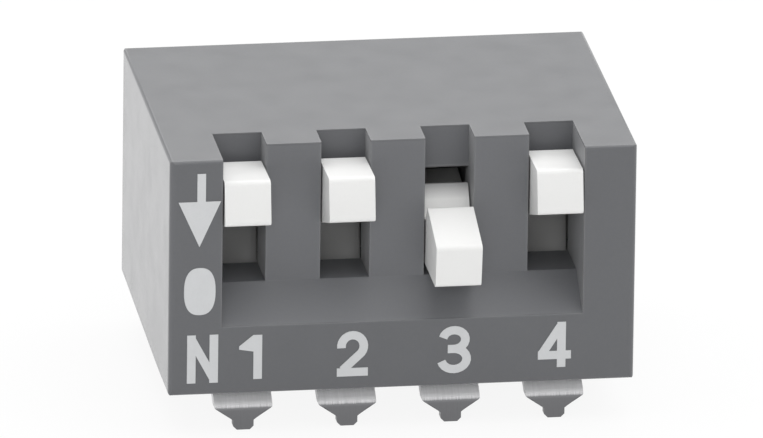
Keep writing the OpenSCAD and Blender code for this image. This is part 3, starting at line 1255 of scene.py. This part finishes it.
@dataclass
class FrontPrint:
    """The marks on the cover's front: the arrow to ON and the position numbers."""

    pen_mm: float = 0.21
    ink_mm: float = 0.012
    sunk_mm: float = 0.01
    same_mm: float = 1e-6
    marks: tuple[Mark, ...] = MARKS

    def build(self, shop: Workshop) -> list[Piece]:
        """Prints every mark on the cover's front.

        Args:
            shop: The shared effects and mesh steps.

        Returns:
            The marks' pieces.
        """
        front_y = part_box("cover")[0].y
        made = []
        for mark in self.marks:
            piece = bpy.data.objects.new(mark.name, self._mesh(mark, front_y))
            bpy.context.scene.collection.objects.link(piece)
            piece.data.materials.append(MARK_INK.material(shop.effects))
            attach(piece, "housing")
            made.append(piece)
        return made

    def _mesh(self, mark: Mark, front_y: float) -> bpy.types.Mesh:
        """Makes a mark's thin layer of ink.

        Args:
            mark: The mark.
            front_y: Level of the cover's front, in metres.

        Returns:
            A closed mesh that is sunk a little into the front.
        """
        outlines = mark.outlines(self.pen_mm)
        points, sides = [], []
        for outline in outlines:
            first = len(points)
            points += [Vector(point) for point in outline]
            sides += [(first + k, first + (k + 1) % len(outline)) for k in range(len(outline))]
        shown, _, faces, *_ = delaunay_2d_cdt(points, sides, [], 0, self.same_mm)
        form = bmesh.new()
        top_y = front_y - self.ink_mm * MM
        corners = [form.verts.new((point.x * MM, top_y, point.y * MM)) for point in shown]
        for face in faces:
            middle = sum((shown[k] for k in face), Vector((0, 0))) / len(face)
            if any(goes_round(outline, middle) for outline in outlines):
                form.faces.new([corners[k] for k in face])
        loose = [corner for corner in form.verts if not corner.link_faces]
        bmesh.ops.delete(form, geom=loose, context="VERTS")
        grown = bmesh.ops.extrude_face_region(form, geom=list(form.faces))
        depth = Vector((0, (self.ink_mm + self.sunk_mm) * MM, 0))
        moved = [part for part in grown["geom"] if isinstance(part, bmesh.types.BMVert)]
        bmesh.ops.translate(form, verts=moved, vec=depth)
        bmesh.ops.recalc_face_normals(form, faces=form.faces)
        mesh = bpy.data.meshes.new(mark.name)
        form.to_mesh(mesh)
        form.free()
        return mesh


# Studio


@dataclass(frozen=True)
class SoftBox:
    """A square soft lamp that faces the part."""

    name: str
    place_mm: Place
    side_mm: float
    radiance: float

    def light(self, aim: Vector) -> None:
        """Hangs the lamp.

        Args:
            aim: Point that it faces, in metres.
        """
        data = bpy.data.lights.new(self.name, "AREA")
        data.shape = "SQUARE"
        data.size = self.side_mm * MM
        data.energy = self.radiance * math.pi * data.size**2
        lamp = bpy.data.objects.new(self.name, data)
        bpy.context.scene.collection.objects.link(lamp)
        lamp.location = Vector(self.place_mm) * MM
        lamp.rotation_mode = "QUATERNION"
        lamp.rotation_quaternion = (aim - lamp.location).to_track_quat("-Z", "Y")
        lamp.visible_camera = False


@dataclass
class Studio:
    """White floor and white surroundings with soft lamps overhead, in front and to the left."""

    floor_mm: float = 900.0
    floor_colour: Colour = (0.92, 0.92, 0.92)
    floor_glow: float = 0.9
    fill: float = 0.45
    lamps: tuple[SoftBox, ...] = (
        SoftBox("overhead_softbox", (60.0, 60.0, 260.0), 520.0, 1.3),
        SoftBox("front_softbox", (-56.0, -332.0, 150.0), 130.0, 4.0),
        SoftBox("left_softbox", (-220.0, 20.0, 75.0), 150.0, 1.45),
    )

    def build(self) -> None:
        """Lays the floor and sets up the light."""
        low, high = CAD_BOX
        self._lay_floor(low.z)
        self._light_world()
        for lamp in self.lamps:
            lamp.light((low + high) / 2)
        bpy.context.scene.view_settings.view_transform = "Standard"

    def _lay_floor(self, level: float) -> None:
        """Lays the floor under the pins.

        Args:
            level: Height of the floor, in metres.
        """
        form = bmesh.new()
        bmesh.ops.create_grid(form, x_segments=1, y_segments=1, size=self.floor_mm * MM / 2)
        mesh = bpy.data.meshes.new("floor")
        form.to_mesh(mesh)
        form.free()
        floor = bpy.data.objects.new("floor", mesh)
        bpy.context.scene.collection.objects.link(floor)
        floor.location.z = level
        mesh.materials.append(self._floor_material())

    def _floor_material(self) -> bpy.types.Material:
        """Makes the floor: white to the eye, with the part's shadow left on it.

        Returns:
            The floor's material.
        """
        made = bpy.data.materials.new("floor_white")
        made.use_nodes = True
        sheet = NodeSheet(made.node_tree)
        matte = sheet.add("ShaderNodeBsdfDiffuse", "matte")
        matte.inputs["Color"].default_value = (*self.floor_colour, 1.0)
        glow = sheet.add("ShaderNodeEmission", "glow")
        share = sheet.maths("MULTIPLY", "share of glow", self._seen(sheet), self.floor_glow)
        shaders = (matte.outputs["BSDF"], glow.outputs["Emission"])
        self._put_out(sheet, "ShaderNodeOutputMaterial", share, *shaders)
        return made

    def _light_world(self) -> None:
        """Makes the surroundings: white where they are seen, a plain fill elsewhere."""
        world = bpy.data.worlds.new("white_tent")
        world.use_nodes = True
        bpy.context.scene.world = world
        sheet = NodeSheet(world.node_tree)
        seen = sheet.add("ShaderNodeBackground", "seen")
        fill = sheet.add("ShaderNodeBackground", "fill")
        seen.inputs["Color"].default_value = fill.inputs["Color"].default_value = (1, 1, 1, 1)
        fill.inputs["Strength"].default_value = self.fill
        shaders = (fill.outputs["Background"], seen.outputs["Background"])
        self._put_out(sheet, "ShaderNodeOutputWorld", self._seen(sheet), *shaders)

    def _seen(self, sheet: NodeSheet) -> Socket:
        """Tells rays from the camera, a gloss or a clear piece from others.

        Args:
            sheet: The sheet to add to.

        Returns:
            Socket with 1 on such rays and 0 on others.
        """
        path = sheet.add("ShaderNodeLightPath", "path").outputs
        gloss = sheet.maths("MAXIMUM", "or gloss", path["Is Camera Ray"], path["Is Glossy Ray"])
        return sheet.maths("MAXIMUM", "or clear", gloss, path["Is Transmission Ray"])

    def _put_out(self, sheet: NodeSheet, kind: str, *sources: Socket) -> None:
        """Puts out a mix of two shaders.

        Args:
            sheet: The sheet to add to.
            kind: Blender's type name of the output node.
            sources: Sockets with the share of the second shader and with both shaders.
        """
        mixed = sheet.add("ShaderNodeMixShader", "mixed")
        for target, source in zip(mixed.inputs, sources):
            sheet.link(source, target)
        sheet.link(mixed.outputs["Shader"], sheet.add(kind, "output").inputs["Surface"])


@dataclass
class PhotoCamera:
    """A long lens at the photograph's place."""

    azimuth_deg: float = -8.6916
    elevation_deg: float = 19.5971
    roll_deg: float = 0.752
    distance_mm: float = 500.0
    px_per_mm: float = 41.0541
    target_mm: Place = (0.1081, 0.0, 2.9703)
    sensor_mm: float = 36.0
    near_share: float = 0.1
    far_share: float = 10.0

    def place(self) -> None:
        """Sets up the scene's camera."""
        turn, rise, roll = (
            math.radians(angle) for angle in (self.azimuth_deg, self.elevation_deg, self.roll_deg)
        )
        back = Vector(
            (math.sin(turn) * math.cos(rise), -math.cos(turn) * math.cos(rise), math.sin(rise))
        )
        level = Vector((0, 0, 1)).cross(back).normalized()
        upright = back.cross(level)
        right = math.cos(roll) * level + math.sin(roll) * upright
        up = math.cos(roll) * upright - math.sin(roll) * level
        data = bpy.data.cameras.new("photo_camera")
        data.sensor_width = self.sensor_mm
        data.lens = self.px_per_mm * self.distance_mm * self.sensor_mm / PHOTO_WIDTH_PX
        data.clip_start = self.near_share * self.distance_mm * MM
        data.clip_end = self.far_share * self.distance_mm * MM
        camera = bpy.data.objects.new("photo_camera", data)
        bpy.context.scene.collection.objects.link(camera)
        turned = Matrix((right, up, back)).transposed().to_4x4()
        eye = (Vector(self.target_mm) + back * self.distance_mm) * MM
        camera.matrix_world = Matrix.Translation(eye) @ turned
        bpy.context.scene.camera = camera


def main() -> None:
    """Builds the sub-assemblies in order, then the studio and the camera."""
    logging.basicConfig(level=logging.INFO, format="%(name)s: %(message)s")
    shop = Workshop(EffectLibrary(), MeshSteps())
    for assembly in (Housing(), LeverBank(), TerminalRows(), FrontPrint()):
        for piece in assembly.build(shop):
            log.info("%s: %s", type(assembly).__name__, piece.name)
    Studio().build()
    PhotoCamera().place()


if __name__ == "__main__":
    main()
